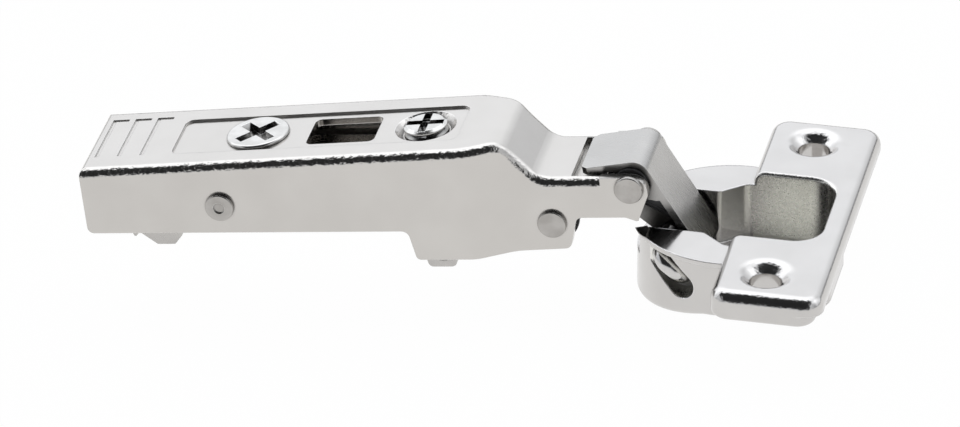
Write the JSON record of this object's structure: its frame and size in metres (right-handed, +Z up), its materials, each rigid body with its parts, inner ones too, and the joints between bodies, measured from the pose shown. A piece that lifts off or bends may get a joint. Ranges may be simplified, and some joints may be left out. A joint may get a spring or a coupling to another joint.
{
  "type": "concealed cabinet hinge",
  "caption": "Concealed clip-on cabinet hinge, open: pressed arm with depth and side adjusters, folding link pair and die-cast cup with a screw plate for a narrow door frame.",
  "frame": {"origin": "middle of the underside of the clip carrier's web, where it sits on the mounting plate", "axes": "+X along the arm to the cup, +Y along the pivots, +Z up from the panel that carries the arm"},
  "size_m": [0.1041, 0.0494, 0.0252],
  "materials": {
    "plated_arm": "bright nickel plating on pressed steel, light orange peel",
    "plated_inner": "dull nickel plating on pressed steel",
    "plated_screw": "nickel plating on turned steel",
    "plated_casting": "bright nickel plating on die-cast zinc, grainy inside",
    "link_steel": "satin rolled steel",
    "rivet_steel": "plated wire and rivets",
    "spring_steel": "oiled spring wire",
    "bush_plastic": "plain black acetal"
  },
  "bodies": {
    "carrier": {"clip_carrier": "plated_inner", "latch_pin": "rivet_steel", "hook_pin": "rivet_steel"},
    "pin": {"rear_pin": "rivet_steel"},
    "arm": {"hinge_arm": "plated_arm", "front_rivet": "rivet_steel", "link_rivet": "rivet_steel", "link_bush_far": "bush_plastic", "link_bush_near": "bush_plastic", "strap_bush_far": "bush_plastic", "strap_bush_near": "bush_plastic", "closing_spring_far": "spring_steel", "closing_spring_near": "spring_steel"},
    "cam": {"depth_cam": "plated_screw", "cam_disc": "plated_inner"},
    "screw": {"side_screw": "plated_screw"},
    "latch": {"release_latch": "plated_inner", "latch_spring": "spring_steel"},
    "outer": {"outer_link": "link_steel"},
    "boss": {"door_boss": "plated_casting", "axle_hairpin": "rivet_steel"},
    "inner": {"inner_link": "link_steel"}
  },
  "joints": [
    {"name": "depth_slide", "type": "slide", "parent": "carrier", "child": "pin", "axis": [1, 0, 0], "range_m": [-0.0023, 0.0023]},
    {"name": "side_tilt", "type": "hinge", "parent": "pin", "child": "arm", "pos_m": [-0.0086, 0, -0.00165], "axis": [0, 1, 0], "range_deg": [-1.5, 1.5]},
    {"name": "cam_turn", "type": "hinge", "parent": "arm", "child": "cam", "pos_m": [-0.0044, 0, 0.00494], "axis": [-0.0465, 0, 0.9989], "range_deg": [-50.1, 50.1]},
    {"name": "screw_turn", "type": "hinge", "parent": "arm", "child": "screw", "pos_m": [0.0192, 0, 0.00604], "axis": [-0.0465, 0, 0.9989], "range_deg": [-262.7, 262.7]},
    {"name": "latch_turn", "type": "hinge", "parent": "carrier", "child": "latch", "pos_m": [-0.0164, 0, -0.0024], "axis": [0, 1, 0], "range_deg": [0, 12], "stiffness_Nm_per_rad": 0.05, "springref_deg": -17.19},
    {"name": "door_fold", "type": "hinge", "parent": "outer", "child": "boss", "pos_m": [0.05462, 0, -0.01235], "axis": [0, 1, 0], "range_deg": [-102.4, 0]},
    {"name": "outer_turn", "type": "hinge", "parent": "arm", "child": "outer", "pos_m": [0.0479, 0, -0.00054], "axis": [0, 1, 0], "range_deg": [0, 5.2]},
    {"name": "inner_turn", "type": "hinge", "parent": "boss", "child": "inner", "pos_m": [0.05181, 0, -0.00933], "axis": [0, 1, 0], "range_deg": [0, 120]}
  ],
  "couplings": [
    {"joint": "cam_turn", "follows": "depth_slide", "rad_per_m": 379.4},
    {"joint": "screw_turn", "follows": "side_tilt", "ratio": 174.7},
    {"joint": "outer_turn", "follows": "door_fold", "ratio": -0.05},
    {"joint": "inner_turn", "follows": "door_fold", "ratio": -1.171}
  ]
}
